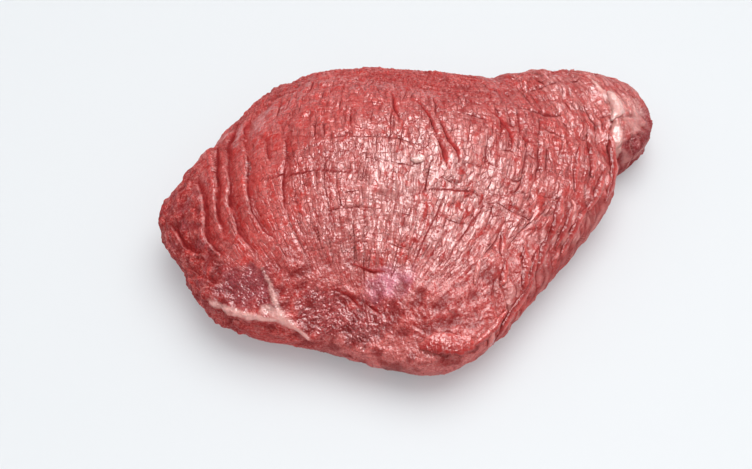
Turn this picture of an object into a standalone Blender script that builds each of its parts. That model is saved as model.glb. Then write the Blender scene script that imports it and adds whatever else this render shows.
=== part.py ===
"""Raw boneless beef rump roast, trimmed, lying on its flat side.

Metres, +Z up. X runs along the roast from its blunt end to its thin tail, and the origin is the
middle of the base. The thick muscle is a ball pressed into shape by functions: an outline seen from
above, a height for its upper face and a rounded section. Folds, pleats, dents and the fat seam are
relief on it. The tail muscle and a loose flap are made the same way and joined to it, so that the
roast is one solid.
"""

import itertools
import math

import bmesh
import bpy
import numpy as np

MM = 0.001
NAME = "rump_roast"

# All places below are millimetres on one drawing, whose zero point lies here from the base's middle
ZERO_X, ZERO_Y = -39.8, -19.7

# Thick muscle: corners of its outline seen from above, anticlockwise from the tail side
MUSCLE_MIDDLE = (20.0, 14.0)
MUSCLE_CORNERS = (
    (154, 12),
    (151, 46),
    (122, 80),
    (84, 104),
    (36, 122),
    (-12, 128),
    (-54, 112),
    (-80, 81),
    (-111, 57),
    (-111, 17),
    (-97, -19),
    (-64, -45),
    (-28, -72),
    (6, -90),
    (36, -82),
    (79, -57),
    (116, -35),
    (141, -14),
)
MUSCLE_EDGE_HEIGHT = 23.0  # of the widest level above the base
MUSCLE_LOW_TOP = 46.0  # height of the upper face above the zero point, without the crown
MUSCLE_RISE_X, MUSCLE_RISE_Y = -0.02, 0.085  # slope of the upper face
MUSCLE_CROWN = 23.0  # what the crown adds
CROWN_MIDDLE = (5.0, 40.0)
CROWN_REACH = (95.0, 62.0)

# Tail muscle: it comes out from under the back of the thick one
TAIL_MIDDLE = (135.0, 50.0)
TAIL_CORNERS = (
    (193, 36),
    (193, 56),
    (178, 74),
    (150, 87),
    (121, 93),
    (92, 86),
    (80, 60),
    (100, 24),
    (133, 6),
    (163, 6),
    (183, 18),
)
TAIL_EDGE_HEIGHT = 17.0
TAIL_TOP = 39.0
TAIL_FALL = 0.10  # of the upper face towards the tip
TAIL_LIFT = 0.8  # its base rests this much higher, so that the two bases don't lie in one plane

# Section of a muscle: how square its shoulder is, and where its flat base begins to turn up
SHOULDER = 2.35
WALL_SHOULDER = 1.5  # added on the cut wall at the front right
SHOULDER_TURN = 2.1
BASE_SHARE = 0.80
FOOT = 2.3
UPPER_SHARE = 1.3  # of the squares from pole to pole, in quarters of a turn, above the edge

# Folds at the blunt end: one roll between each two creases, which bend like bows
FOLD_CREASES = (-108, -98, -88, -76, -62, -43)
FOLD_BOW = 0.0022
FOLD_BOW_Y = 12.0
FOLD_DEPTH = 3.6
FOLD_LEAN = 1.6  # moves a roll's crest towards its right crease
FOLD_WIDTH = 14.0
FOLD_LOW, FOLD_HIGH = 24.0, 40.0  # heights between which the rolls grow

# Pleats down the wall at the front right
WALL_ALONG = (0.81, 0.59)
PLEAT_WIDTH = 15.0
PLEAT_DEPTH = 2.6

# Fat seams stand proud: a route, how wide at its two ends, and how high
SEAMS = (
    (((-102, -11, 31), (-82, -29, 33), (-67, -41, 33), (-55, -55, 29)), 5.0, 4.0, 1.6),
    (((-67, -38, 35), (-68, -24, 42), (-70, -10, 46)), 4.5, 2.0, 1.2),
    (((168, 54, 36), (166, 38, 36), (160, 22, 36), (153, 4, 31), (147, -8, 28)), 5.0, 5.0, 2.2),
)

# Groove above the smooth lip at the front, given as a seam that sinks
GROOVES = ((((-50, -56, 34), (-30, -68, 35), (-8, -78, 35)), 5.0, 4.0, -2.0),)

# Shallow dents where the roast was cut: place, reach and depth
DENTS = (
    ((-82, -14, 40), 19.0, 2.4),
    ((-42, -46, 40), 24.0, 3.0),
    ((-12, -66, 37), 15.0, 2.0),
    ((-62, 76, 48), 13.0, 2.0),
    ((150, 36, 40), 16.0, 2.0),
)

# Loose flap at the front
FLAP_MIDDLE = (11.0, -79.0, 29.5)
FLAP_SIZE = (18.0, 8.5, 5.5)
FLAP_TURN = math.radians(-16)

MUSCLE_LUMPS = ((27.0, 2.0, 5), (13.0, 1.3, 6))  # size, height and seed
TAIL_LUMPS = ((19.0, 2.2, 7), (9.0, 1.2, 8))
LOW_END, HIGH_START = 2.0, 9.0  # relief grows from nothing between these heights

MUSCLE_CUTS = 29  # squares along an edge of the cube that becomes the thick muscle
TAIL_CUTS = 15
FLAP_CUTS = 5
PROFILE_STEPS = 400

COLOUR = (0.50, 0.125, 0.12, 1.0)
ROUGHNESS = 0.38
SHARP_ANGLE = math.radians(50)


def lattice_noise(points, seed):
    """Smooth random field: each lattice corner has a hashed slope, and the slopes are blended."""
    cell = np.floor(points).astype(np.int64)
    inside = points - cell
    fade = inside**3 * (inside * (inside * 6 - 15) + 10)
    total = np.zeros(len(points))
    for corner in itertools.product((0, 1), repeat=3):
        at = cell + corner
        mixed = at[:, 0] * 374761393 + at[:, 1] * 668265263 + at[:, 2] * 1440662683 + seed * 97531
        mixed = (mixed ^ (mixed >> 13)) * 1274126177
        mixed = (mixed ^ (mixed >> 16)) & 0x3FFFFFFF
        slope = np.stack([mixed & 1023, (mixed >> 10) & 1023, mixed >> 20], 1) / 511.5 - 1
        share = np.where(np.array(corner) == 1, fade, 1 - fade).prod(1)
        total += share * ((inside - corner) * slope).sum(1)
    return total


def smooth_step(value, start, end):
    """0 before start, 1 after end, and an even S between them."""
    share = np.clip((value - start) / (end - start), 0, 1)
    return share**2 * (3 - 2 * share)


def outline_radius(angle, middle, corners):
    """Distance from middle to the smooth closed curve through the corners, at each angle."""
    x, y = (np.array(corners, float) - middle).T
    order = np.argsort(np.arctan2(y, x))
    turn, reach = np.arctan2(y, x)[order], np.hypot(x, y)[order]
    turn = np.concatenate([turn[-2:] - 2 * math.pi, turn, turn[:2] + 2 * math.pi])
    reach = np.concatenate([reach[-2:], reach, reach[:2]])
    slope = np.gradient(reach, turn)
    i = np.clip(np.searchsorted(turn, angle) - 1, 0, len(turn) - 2)
    wide = turn[i + 1] - turn[i]
    f = (angle - turn[i]) / wide
    return (
        (1 + 2 * f) * (1 - f) ** 2 * reach[i]
        + f * (1 - f) ** 2 * wide * slope[i]
        + f**2 * (3 - 2 * f) * reach[i + 1]
        + f**2 * (f - 1) * wide * slope[i + 1]
    )


def upper_rise(across, power):
    """Height of the upper section, from 1 in the middle to 0 at the edge, like a squared circle."""
    return (1 - across**power) ** (1 / SHOULDER_TURN)


def lower_rise(across):
    """Height of the lower section, from 0 over the flat base to 1 at the edge, like a foot."""
    foot = np.clip((across - BASE_SHARE) / (1 - BASE_SHARE), 0, 1)
    return 1 - (1 - foot**FOOT) ** (1 / SHOULDER_TURN)


def even_steps(share, rise, flatness):
    """Share of the plan radius after walking a share of the way along a rounded section."""
    across = 1 - (1 - np.linspace(0, 1, PROFILE_STEPS)) ** 2.5
    walked = np.hypot(np.diff(across), flatness * np.diff(rise(across)))
    walked = np.concatenate([[0], np.cumsum(walked)])
    return np.interp(share * walked[-1], walked, across)


def muscle_points(ball, middle, corners, edge_height, top_height):
    """Presses a unit ball into a muscle: round shoulders above its edge, a flat base below."""
    polar = np.arccos(np.clip(ball[:, 2], -1, 1)) / (math.pi / 2)
    angle = np.arctan2(ball[:, 1], ball[:, 0])
    upper = polar <= UPPER_SHARE
    share = np.where(upper, polar / UPPER_SHARE, (2 - polar) / (2 - UPPER_SHARE))
    across = np.where(
        upper,
        even_steps(share, lambda a: upper_rise(a, SHOULDER), 0.5),
        even_steps(share, lower_rise, 0.25),
    )
    reach = outline_radius(angle, middle, corners) * across
    x = middle[0] + reach * np.cos(angle)
    y = middle[1] + reach * np.sin(angle)
    wall = np.cos(angle) * WALL_ALONG[1] - np.sin(angle) * WALL_ALONG[0]
    power = SHOULDER + WALL_SHOULDER * np.clip(wall, 0, 1) ** 2
    above = edge_height + (top_height(x, y) - edge_height) * upper_rise(across, power)
    z = np.where(upper, above, edge_height * lower_rise(across))
    return np.stack([x, y, z], 1)


def muscle_top(x, y):
    """Height of the thick muscle's upper face: a slope with one broad crown."""
    away = ((x - CROWN_MIDDLE[0]) / CROWN_REACH[0]) ** 2
    away += ((y - CROWN_MIDDLE[1]) / CROWN_REACH[1]) ** 2
    level = MUSCLE_LOW_TOP + MUSCLE_RISE_X * x + MUSCLE_RISE_Y * y
    return level + MUSCLE_CROWN * np.exp(-away)


def tail_top(x, y):
    """Height of the tail muscle's upper face, which falls towards its tip."""
    return TAIL_TOP - TAIL_FALL * (x - TAIL_MIDDLE[0])


def folds(points):
    """Rolls across the blunt end: a sine hump between each two bowed creases, its crest leaning."""
    x, y, z = points.T
    along = x - FOLD_BOW * (y - FOLD_BOW_Y) ** 2
    height = np.zeros_like(along)
    for left, right in itertools.pairwise(FOLD_CREASES):
        share = np.clip((along - left) / (right - left), 0, 1)
        depth = FOLD_DEPTH * math.sqrt((right - left) / FOLD_WIDTH)
        height += depth * np.sin(math.pi * share**FOLD_LEAN)
    ends = smooth_step(y, -22, 4) * smooth_step(-y, -92, -70)
    return height * ends * smooth_step(z, FOLD_LOW, FOLD_HIGH)


def pleats(points, normals):
    """Rounded pleats down the front right wall: rectified sines along it, unevenly spaced."""
    along = points[:, 0] * WALL_ALONG[0] + points[:, 1] * WALL_ALONG[1]
    uneven = lattice_noise(points / 30.0, 11)
    wave = np.abs(np.sin(math.pi * (along / PLEAT_WIDTH + uneven)))
    facing = normals[:, 0] * WALL_ALONG[1] - normals[:, 1] * WALL_ALONG[0]
    return PLEAT_DEPTH * (wave - 2 / math.pi) * smooth_step(facing, 0.25, 0.75)


def seam(points, route, start_width, end_width, height):
    """A rounded ridge along a route: height falls off like a bell with the distance to it."""
    route = np.array(route, float)
    best = np.full(len(points), 1e9)
    width = np.full(len(points), float(start_width))
    legs = len(route) - 1
    for k in range(legs):
        leg = route[k + 1] - route[k]
        share = np.clip((points - route[k]) @ leg / (leg @ leg), 0, 1)
        away = np.linalg.norm(points - route[k] - share[:, None] * leg, axis=1)
        wide = start_width + (end_width - start_width) * (k + share) / legs
        width = np.where(away < best, wide, width)
        best = np.minimum(best, away)
    return height * np.exp(-((best / width) ** 2))


def relief(points, normals, lumps):
    """All that stands out of or sinks into the pressed ball, along its normals."""
    height = folds(points) + pleats(points, normals)
    for size, tall, seed in lumps:
        height += tall * lattice_noise(points / size, seed)
    for route, start_width, end_width, tall in SEAMS + GROOVES:
        height += seam(points, route, start_width, end_width, tall)
    for middle, reach, depth in DENTS:
        away = np.linalg.norm(points - middle, axis=1)
        height -= depth * np.exp(-((away / reach) ** 2))
    return height * smooth_step(points[:, 2], LOW_END, HIGH_START)


def ball_object(name, cuts):
    """A cube primitive cut into squares and blown up to a unit ball, its squares kept even."""
    form = bmesh.new()
    bmesh.ops.create_cube(form, size=2)
    bmesh.ops.subdivide_edges(form, edges=form.edges, cuts=cuts - 1, use_grid_fill=True)
    mesh = bpy.data.meshes.new(name)
    form.to_mesh(mesh)
    form.free()
    made = bpy.data.objects.new(name, mesh)
    spread = np.tan(values_of(made, "co") * (math.pi / 4))
    place(made, spread / np.linalg.norm(spread, axis=1)[:, None])
    return made


def values_of(thing, what):
    """One vector for each of the object's vertices, as an array: co or normal."""
    flat = np.empty(len(thing.data.vertices) * 3, np.float32)
    thing.data.vertices.foreach_get(what, flat)
    return flat.reshape(-1, 3).astype(float)


def place(thing, points):
    """Moves the object's vertices to these points."""
    thing.data.vertices.foreach_set("co", points.astype(np.float32).ravel())
    thing.data.update()


def to_metres(points):
    """From millimetres on the drawing to metres from the middle of the base."""
    return (points + (ZERO_X, ZERO_Y, 0)) * MM


def make_muscle(name, cuts, middle, corners, edge_height, top_height, lumps, lift):
    """One muscle: a ball pressed into shape, then its relief, with nothing below the base."""
    made = ball_object(name, cuts)
    pressed = muscle_points(values_of(made, "co"), middle, corners, edge_height, top_height)
    place(made, pressed)
    normals = values_of(made, "normal")
    raised = pressed + normals * relief(pressed, normals, lumps)[:, None]
    raised[:, 2] = np.maximum(raised[:, 2], 0) + lift
    place(made, to_metres(raised))
    return made


def make_flap():
    """The loose flap: a flattened ball, turned to lie along the front."""
    made = ball_object("flap", FLAP_CUTS)
    x, y, z = (values_of(made, "co") * FLAP_SIZE).T
    c, s = math.cos(FLAP_TURN), math.sin(FLAP_TURN)
    place(made, to_metres(np.stack([c * x - s * y, s * x + c * y, z], 1) + FLAP_MIDDLE))
    return made


def meat():
    """Raw lean beef: deep red, and damp enough for a soft shine."""
    material = bpy.data.materials.new("raw beef")
    material.use_nodes = True
    shader = material.node_tree.nodes["Principled BSDF"]
    shader.inputs["Base Color"].default_value = COLOUR
    shader.inputs["Roughness"].default_value = ROUGHNESS
    shader.inputs["Metallic"].default_value = 0.0
    return material


def join(body, pieces):
    """Joins the pieces to the body with one Boolean union, applies it and removes them."""
    joined = bpy.data.collections.new("joined pieces")
    bpy.context.scene.collection.children.link(joined)
    for piece in pieces:
        joined.objects.link(piece)
    union = body.modifiers.new("join", "BOOLEAN")
    union.operation = "UNION"
    union.operand_type = "COLLECTION"
    union.collection = joined
    union.solver = "EXACT"
    bpy.context.view_layer.update()
    graph = bpy.context.evaluated_depsgraph_get()
    whole = bpy.data.meshes.new_from_object(body.evaluated_get(graph))
    whole.name = body.name
    body.modifiers.clear()
    body.data = whole
    for piece in pieces:
        bpy.data.objects.remove(piece, do_unlink=True)
    bpy.data.collections.remove(joined)


def clear_scene():
    for old in list(bpy.data.objects):
        bpy.data.objects.remove(old, do_unlink=True)


def main():
    clear_scene()
    group = bpy.data.collections.new("rump roast")
    bpy.context.scene.collection.children.link(group)
    roast = make_muscle(
        NAME,
        MUSCLE_CUTS,
        MUSCLE_MIDDLE,
        MUSCLE_CORNERS,
        MUSCLE_EDGE_HEIGHT,
        muscle_top,
        MUSCLE_LUMPS,
        0.0,
    )
    tail = make_muscle(
        "tail",
        TAIL_CUTS,
        TAIL_MIDDLE,
        TAIL_CORNERS,
        TAIL_EDGE_HEIGHT,
        tail_top,
        TAIL_LUMPS,
        TAIL_LIFT,
    )
    group.objects.link(roast)
    join(roast, [tail, make_flap()])
    roast.data.materials.clear()
    roast.data.materials.append(meat())
    roast.data.shade_smooth()
    roast.data.set_sharp_from_angle(angle=SHARP_ANGLE)


if __name__ == "__main__":
    main()
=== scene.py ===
"""Looks of a raw beef rump roast: the skin of the meat, its fat, its cuts and a plain studio.

The file is laid out as an add-on and run as a script. Each piece is a surface worked out with
numpy on a grid. Places are millimetres on one drawing and become metres when a mesh is made.
"""

import itertools
import math

import bpy
import numpy as np
from bpy.props import FloatProperty, FloatVectorProperty, PointerProperty
from mathutils import Matrix, Vector


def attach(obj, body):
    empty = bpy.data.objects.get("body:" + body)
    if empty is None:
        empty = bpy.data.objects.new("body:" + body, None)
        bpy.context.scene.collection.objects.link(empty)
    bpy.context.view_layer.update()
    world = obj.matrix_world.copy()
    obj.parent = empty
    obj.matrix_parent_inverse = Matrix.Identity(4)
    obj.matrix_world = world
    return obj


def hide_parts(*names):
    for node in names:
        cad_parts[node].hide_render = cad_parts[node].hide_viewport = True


bl_info = {
    "name": "Raw Beef Roast",
    "version": (1, 0, 0),
    "blender": (4, 5, 0),
    "location": "View3D > Sidebar > Roast",
    "description": "Builds a trimmed raw beef roast with folds, creases, fat seams and cut faces",
    "category": "Add Mesh",
}

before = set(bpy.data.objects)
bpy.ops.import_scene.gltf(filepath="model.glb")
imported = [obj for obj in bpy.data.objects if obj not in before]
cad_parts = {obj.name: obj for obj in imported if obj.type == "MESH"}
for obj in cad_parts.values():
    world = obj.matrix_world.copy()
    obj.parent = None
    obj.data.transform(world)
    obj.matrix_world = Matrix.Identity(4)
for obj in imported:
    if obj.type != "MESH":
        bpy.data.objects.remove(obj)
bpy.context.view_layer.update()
BODY = "root"
NODE = "rump_roast"

MM = 0.001
ZERO = (-39.8, -19.7, 0.0)  # the drawing's zero point, from the middle of the base, in mm

# Thick muscle, as the solid has it: a top that rises along x and y, and a crown on it (mm)
MUSCLE_MIDDLE = (20.0, 14.0)
MUSCLE_CORNERS = (
    (154, 12), (151, 46), (122, 80), (84, 104), (36, 122), (-12, 128), (-54, 112), (-80, 81),
    (-111, 57), (-111, 17), (-97, -19), (-64, -45), (-28, -72), (6, -90), (36, -82), (79, -57),
    (116, -35), (141, -14),
)
MUSCLE_EDGE_HEIGHT, MUSCLE_LOW_TOP = 23.0, 46.0
MUSCLE_RISE_X, MUSCLE_RISE_Y = -0.02, 0.085
MUSCLE_CROWN, CROWN_MIDDLE, CROWN_REACH = 23.0, (5.0, 40.0), (95.0, 62.0)

# Tail muscle: its top falls along x, and it is lifted a little off the floor (mm)
TAIL_MIDDLE = (135.0, 50.0)
TAIL_CORNERS = (
    (193, 36), (193, 56), (178, 74), (150, 87), (121, 93), (92, 86), (80, 60), (100, 24),
    (133, 6), (163, 6), (183, 18),
)
TAIL_EDGE_HEIGHT, TAIL_TOP, TAIL_FALL, TAIL_LIFT = 17.0, 39.0, 0.10, 0.8

# Section of a muscle: powers of its curves, the flat share of its base, and the direction along
# the steep wall at the front right
SHOULDER, WALL_SHOULDER, SHOULDER_TURN, FOOT = 2.35, 1.5, 2.1, 2.3
BASE_SHARE = 0.80
WALL_ALONG = (0.81, 0.59)
PROFILE_STEPS = 400
BASE_RINGS = 6  # rings of squares on the flat base
MUSCLE_RINGS = 156
TAIL_RINGS = 84
LOW_END, HIGH_START = 2.0, 9.0  # relief grows from nothing between these heights

# The creases are arcs through two poles, and the fine fibres cross them (mm)
GRAIN_MIDDLE = (22.0, 54.0)
GRAIN_AXIS = (0.41, 0.912)
GRAIN_REACH = 132.0
TURN_DOWN_HEIGHT = 42.0  # below it the pattern runs on down the side

# Creases between the rolls of the blunt end: a route seen from above, with the sides laid
# flat (mm), and the share of the fold depth that each one has. A crease drops to its left hand
FOLDS = (
    (((-38, 126), (-47, 100), (-53, 76), (-57, 54), (-62, 36), (-65, 22), (-63, 9), (-56, -5)), 0.95),
    (((-58, 124), (-57, 99), (-61, 84), (-66, 62), (-70, 46), (-74, 32), (-75, 14), (-69, -9)), 1.15),
    (((-76, 112), (-68, 88), (-71, 68), (-76, 51), (-80, 39), (-83, 28), (-82, 8)), 0.85),
    (((-98, 78), (-86, 58), (-86, 45), (-89, 33), (-91, 24), (-90, 14), (-84, 2)), 0.75),
    (((-32, 82), (-33, 63), (-34, 54), (-39, 41), (-44, 29), (-48, 18), (-50, 6)), 0.5),
    (((-45, 76), (-43, 63), (-45, 55), (-48, 44)), 0.5),
    (((-117, 56), (-111, 40), (-111, 29), (-105, 19), (-95, 12)), 0.6),
    (((-124, 20), (-114, 12), (-108, 2), (-100, -8)), 0.3),
)
CRACK_REACH = 4.0  # how far from a crack its distance is handed on (mm)
FOLD_LIP, FOLD_DIP = 8.0, 6.0  # reach of the swell before a crease and of the dip after it (mm)
WARP_SIZE, WARP_REACH = 12.0, 1.8  # how the creases wander off their routes (mm)

# Lines that bound the rolls on the right, and the lumpy far end: y, x (mm)
ROLLS_Y, ROLLS_X = (-20, 18, 41, 63, 100), (-60, -48, -39, -33, -30)
END_Y, END_X = (-10, 10, 24, 45, 70), (-84, -86, -88, -86, -80)

# Large lumps: size, height and seed (mm)
MUSCLE_LUMPS = ((27.0, 2.0, 5), (13.0, 1.3, 6))
TAIL_LUMPS = ((19.0, 2.4, 7), (9.0, 2.0, 8))

# Fat seams: a route, how wide at its two ends, and how high (mm)
SEAMS = (
    (((-103, -9, 30), (-97, -16, 30), (-89, -24, 31), (-80, -31, 31), (-72, -36, 32)), 4.2, 2.6, 1.6),
    (((-75, -29, 35), (-70, -34, 34), (-65, -41, 31), (-58, -49, 25)), 6.5, 2.0, 1.8),
    (((-68, -34, 34), (-69, -25, 38), (-69, -17, 41), (-70, -9, 44)), 3.0, 1.1, 1.0),
    (((164, 66, 34), (166, 52, 36), (167, 38, 36), (161, 24, 36)), 2.5, 6.0, 1.2),
    (((161, 24, 36), (155, 12, 33), (154, 2, 28), (148, -8, 28)), 6.5, 5.0, 1.8),
)
GROOVES = (
    (((-50, -56, 34), (-30, -68, 35), (-8, -78, 35)), 5.0, 4.0, -2.0),
    (((-94, -24, 26), (-82, -34, 26), (-70, -42, 26)), 2.4, 2.0, -1.8),
)
# Middle, reach and depth; a bulge is below 0 (mm)
DENTS = (
    ((-82, -14, 40), 19.0, 2.4),
    ((-42, -46, 40), 24.0, 3.0),
    ((-12, -66, 37), 15.0, 2.0),
    ((-46, 102, 41), 17.0, 5.0),
    ((14, 107, 48), 32.0, -3.5),
    ((-78, 74, 42), 15.0, -6.0),
    ((-113, 14, 26), 18.0, 3.0),
    ((-100, 62, 34), 16.0, -2.5),
    ((-112, 36, 22), 16.0, 2.5),
    ((150, 36, 40), 16.0, 2.0),
)

# Cut faces and skins: middle and reach of each patch (mm)
PURPLE_CUT = (((-86, -16, 40), (20, 15, 12)), ((-74, -26, 38), (9, 9, 9)))
ROUGH_CUT = (((-47, -43, 37), (16, 12, 12)), ((-28, -56, 34), (17, 12, 12)))
SILVER_PATCH = (((-10, -42, 43), (13, 8, 9)),)
TAIL_CUT = (((170, 9, 18), (22, 15, 14)), ((187, 24, 18), (11, 17, 15)))
TAIL_SKIN = (((176, 33, 32), (11, 13, 9)), ((171, 22, 33), (9, 7, 8)))

# Route along the front, round which the creases give way to torn lumps (mm)
TANGLE = ((-62, -36, 38), (-28, -60, 36), (12, -74, 35), (42, -70, 33))

# Zones where the skin has few fine lines, and where it crumbles like torn meat: the share that
# each takes away or brings
CALM = {"folds": 0.1, "back": 0.15, "cut": 0.9, "fat": 1.0, "wall": 0.6, "lip": 0.8}
CRUMBLED = {"purple": 0.45, "rough": 0.8, "tail_cut": 0.8, "lip": 0.2, "end": 0.7, "back": 0.45}
# Swellings of the front lip and the far end: zone, height, size and seed (mm)
SWELLS = (("lip", 0.9, 4.5, 86), ("end", 2.2, 7.0, 83))

# Where the thin pale skin and the sheen painted in its colour are strongest, and how far they
# reach to the sides, to the front and to the back. The tail has a little of it too (mm)
SHEEN_MIDDLE = (30.0, 0.0)
SHEEN_REACH = (50.0, 40.0, 36.0)
TAIL_SHEEN = (118.0, 135.0, 0.25)  # grows from nothing to this share between two x

# How the creases wander off the grain: reach, and the noise's size and seed for each of the
# grain's two lengths (mm)
WANDER = ((4.5, (24, 31), (19, 33)), (1.3, (8, 32), (7, 34)))

# Length over which a long crease opens and closes (mm)
CREASE_RUN = 17.0

# Ribbons down the wall: how steeply they run down it, how far and down to what depth their tops
# hook over, and how long they are (mm)
PLEAT_SLOPE, PLEAT_HOOK, PLEAT_HOOK_DEPTH, PLEAT_LENGTH = 1.85, 18.0, 7.0, 30.0

# Line behind which the top turns into the plain back band: x, y (mm)
BACK_X = (-50, 10, 35, 59, 80, 100)
BACK_Y = (98, 104, 85, 67, 55, 43)

# Creases that gape: routes seen from above, width and depth (mm). The edge on the right hand is
# steep, and the left hand is a bare sloping face
OPEN_CREASES = (
    (((46, 56), (47, 43), (46, 33), (45, 24)), 1.6, 2.4),
    (((45, 26), (46, 19), (44, 10)), 2.1, 2.6),
    (((51, 42), (52, 31), (52, 23), (54, 16), (51, 9)), 2.0, 2.8),
    (((86, 45), (89, 37), (90, 27), (89, 19), (86, 13)), 1.8, 2.4),
    (((101, 39), (99, 30), (95, 22)), 1.1, 1.6),
    (((35, 67), (31, 55), (30, 46)), 1.6, 2.0),
    (((96, 22), (98, 18), (102, 15)), 1.7, 2.4),
    (((66, 11), (70, 6), (74, 3)), 0.8, 0.9),
    (((-60, 42), (-48, 33), (-32, 28), (-14, 21), (2, 14)), 0.8, 0.7),
    (((37, -6), (27, -17), (17, -26), (5, -37)), 0.6, 0.7),
    (((61, -13), (50, -21), (39, -30), (23, -41)), 0.6, 0.7),
    (((14, -4), (30, -2), (41, -4), (51, -8), (63, -19)), 0.7, 0.7),
    (((-24, -25), (-16, -32), (-8, -36)), 1.2, 1.2),
    (((-24, -46), (-19, -54)), 1.2, 1.4),
    (((-37, -33), (-31, -39), (-27, -48)), 1.2, 1.4),
)

# Values that the mesh hands to the material, besides the grain. All are shares but the crack,
# which is the distance from the nearest line of a crease (mm). Its own share is "cracked"
# The crease and hollow shares are painted shade. The film share is pale skin with painted sheen on
# it. The pale share is a painted highlight on cushions in the sheen, and paler skin on the front lip
# and the shreds. The rim is a pale edge that is partly a painted highlight
FIELDS = (
    "pale", "silver", "film", "cut", "crease", "hollow", "open", "rim", "fat", "smooth", "order",
    "gloss", "crumb", "crack", "cracked",
)
CUSHION_RATIO = 1.35  # how many of the material's cushions there are to one of the mesh
# The pale lip beside each crack is a painted highlight
LIP_GLINT_PLACE = 1.4  # how far the pale lip is from its crack (mm)
BEAD_SCALE = 700.0  # cut fibre ends are beads some 1.5 mm across

# Strips and scraps that lie on the meat: a route, half the width, half the thickness, and how
# far the middle is lifted off the meat (mm)
FLAP = (
    (((-7, -78, 33), (4, -80, 34), (14, -84, 32), (22, -87, 28)), 6.5, 1.7, 0.3),
    (((20, -86, 28), (29, -84, 29), (38, -80, 30), (46, -74, 31)), 2.2, 1.6, 0.3),
)
RIBBONS = (
    (((62, -31, 43), (59, -37, 41), (54, -45, 40)), 2.0, 1.1, 0.2),
    (((56, -48, 38), (52, -55, 37), (47, -61, 35)), 2.2, 1.3, 0.3),
    (((69, -43, 38), (67, -51, 36), (63, -58, 32), (58, -67, 28)), 3.2, 1.3, 0.2),
    (((70, -56, 31), (62, -64, 28), (52, -70, 27), (43, -77, 26), (33, -84, 20)), 2.6, 1.5, 0.4),
    (((76, -46, 36), (72, -51, 34), (66, -59, 31), (58, -66, 29)), 2.2, 1.3, 0.3),
    (((87, -37, 37), (82, -43, 35), (76, -50, 33), (71, -56, 31)), 2.6, 1.4, 0.3),
    (((130, 12, 39), (124, 2, 40), (119, -6, 39), (113, -17, 38)), 2.0, 1.2, 0.3),
    (((138, 16, 36), (136, 7, 37), (132, -4, 37), (127, -10, 37)), 2.6, 1.6, 0.5),
    (((154, 18, 36), (151, 9, 33), (147, -3, 30), (140, -13, 28), (129, -23, 29)), 2.8, 1.7, 0.4),
    (((138, -6, 33), (131, -15, 34), (125, -21, 32), (116, -28, 32)), 2.6, 1.6, 0.4),
    (((103, -19, 40), (99, -26, 39), (93, -33, 37), (86, -41, 34)), 3.0, 1.4, 0.2),
    (((109, -25, 37), (103, -31, 36), (96, -38, 33), (88, -46, 31)), 2.4, 1.4, 0.3),
    (((116, -26, 32), (108, -33, 32), (99, -40, 29), (90, -48, 27)), 2.6, 1.6, 0.4),
)
SHREDS = (
    (((108, -22, 38), (108, -27, 37), (105, -31, 36)), 1.3, 1.1, 0.9),
    (((34, -81, 29), (32, -84, 25), (30, -86, 20)), 2.0, 1.3, 1.0),
    (((42, -44, 43), (38, -50, 41), (34, -56, 39)), 1.5, 0.9, 0.4),
)
FAT_PIECES = (
    (((168, 47, 36), (168, 41, 36), (167, 34, 36), (164, 28, 37), (159, 25, 37)), 3.6, 2.8, 1.3),
    (((33, 15, 68), (30, 14.5, 68), (26.5, 14, 68)), 2.6, 1.1, 0.4),
)
# Rings of a strip, places round a ring, and passes of smoothing
STRIP_STEPS, STRIP_TURNS, STRIP_PASSES = 30, 12, 6
FRAYS, FRAY_SEED = 9.0, 101  # frays along a strip, and the first strip's seed
WIDTH_FRAY, THICKNESS_FRAY = 0.55, 0.3  # shares by which a strip frays


def linear(hex_colour):
    """sRGB hex to the linear values that a shader mixes."""
    parts = [int(hex_colour[i : i + 2], 16) / 255 for i in (1, 3, 5)]
    return tuple(p / 12.92 if p <= 0.04045 else ((p + 0.055) / 1.055) ** 2.4 for p in parts)


def length(name, description, default, low=0.0):
    """A size that the user may change, in metres."""
    kind = {"unit": "LENGTH", "precision": 5, "min": low}
    return FloatProperty(name=name, description=description, default=default, **kind)


def colour(name, description, hex_colour):
    """A colour that the user may change."""
    kind = {"subtype": "COLOR", "size": 3, "min": 0.0, "max": 1.0}
    value = linear(hex_colour)
    return FloatVectorProperty(name=name, description=description, default=value, **kind)


class RoastSizes(bpy.types.PropertyGroup):
    """Sizes of the surface that a cook would notice."""

    fold_depth: length("Fold depth", "Drop from one roll of the blunt end to the next", 0.0046)
    crease_spacing: length("Crease spacing", "Between the long creases", 0.0075, 0.002)
    crease_depth: length("Crease depth", "Of the long creases", 0.0011)
    wrinkle_width: length("Wrinkle width", "Of the cushions, across the creases", 0.0040, 0.001)
    wrinkle_length: length("Wrinkle length", "Of the cushions, along the creases", 0.0070, 0.001)
    wrinkle_depth: length("Wrinkle depth", "Of the lines between the cushions", 0.0008)
    fibre_spacing: length("Fibre spacing", "Between the fine cross fibres", 0.0015, 0.0005)
    crumb_size: length("Crumb size", "Of the torn fibre ends on a cut face", 0.0030, 0.001)
    crumb_height: length("Crumb height", "Of the torn fibre ends on a cut face", 0.0010)
    pleat_width: length("Pleat width", "Between the ribbons down the front right wall", 0.0080)
    pleat_depth: length("Pleat depth", "Of the ribbons down the front right wall", 0.0018)


class RoastColours(bpy.types.PropertyGroup):
    """Colours of the meat, its fat and its skins, which also paint shade and highlights on it."""

    lean: colour("Lean", "Fresh lean meat", "#BC312F")
    bright: colour("Bright lean", "Lean meat that has taken up air", "#D5403A")
    # Deep lean is also painted shade: it darkens creases, lines, cracks, notches and hollows
    deep: colour("Deep lean", "Meat down in a crease", "#86191B")
    # Film is also the colour of painted sheen and highlights: spots, cushions, flecks and lips
    film: colour("Film", "Thin pale skin over the muscle", "#E8A19C")
    fat: colour("Fat", "Seams of fat", "#EBB3AC")
    cut: colour("Old cut", "Darkened cut face", "#8E3D48")
    silver: colour("Silver skin", "Shiny tough skin", "#E58CA0")
    floor: colour("Floor", "Plain pale floor", "#BCBFC1")


# Patterns


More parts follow.
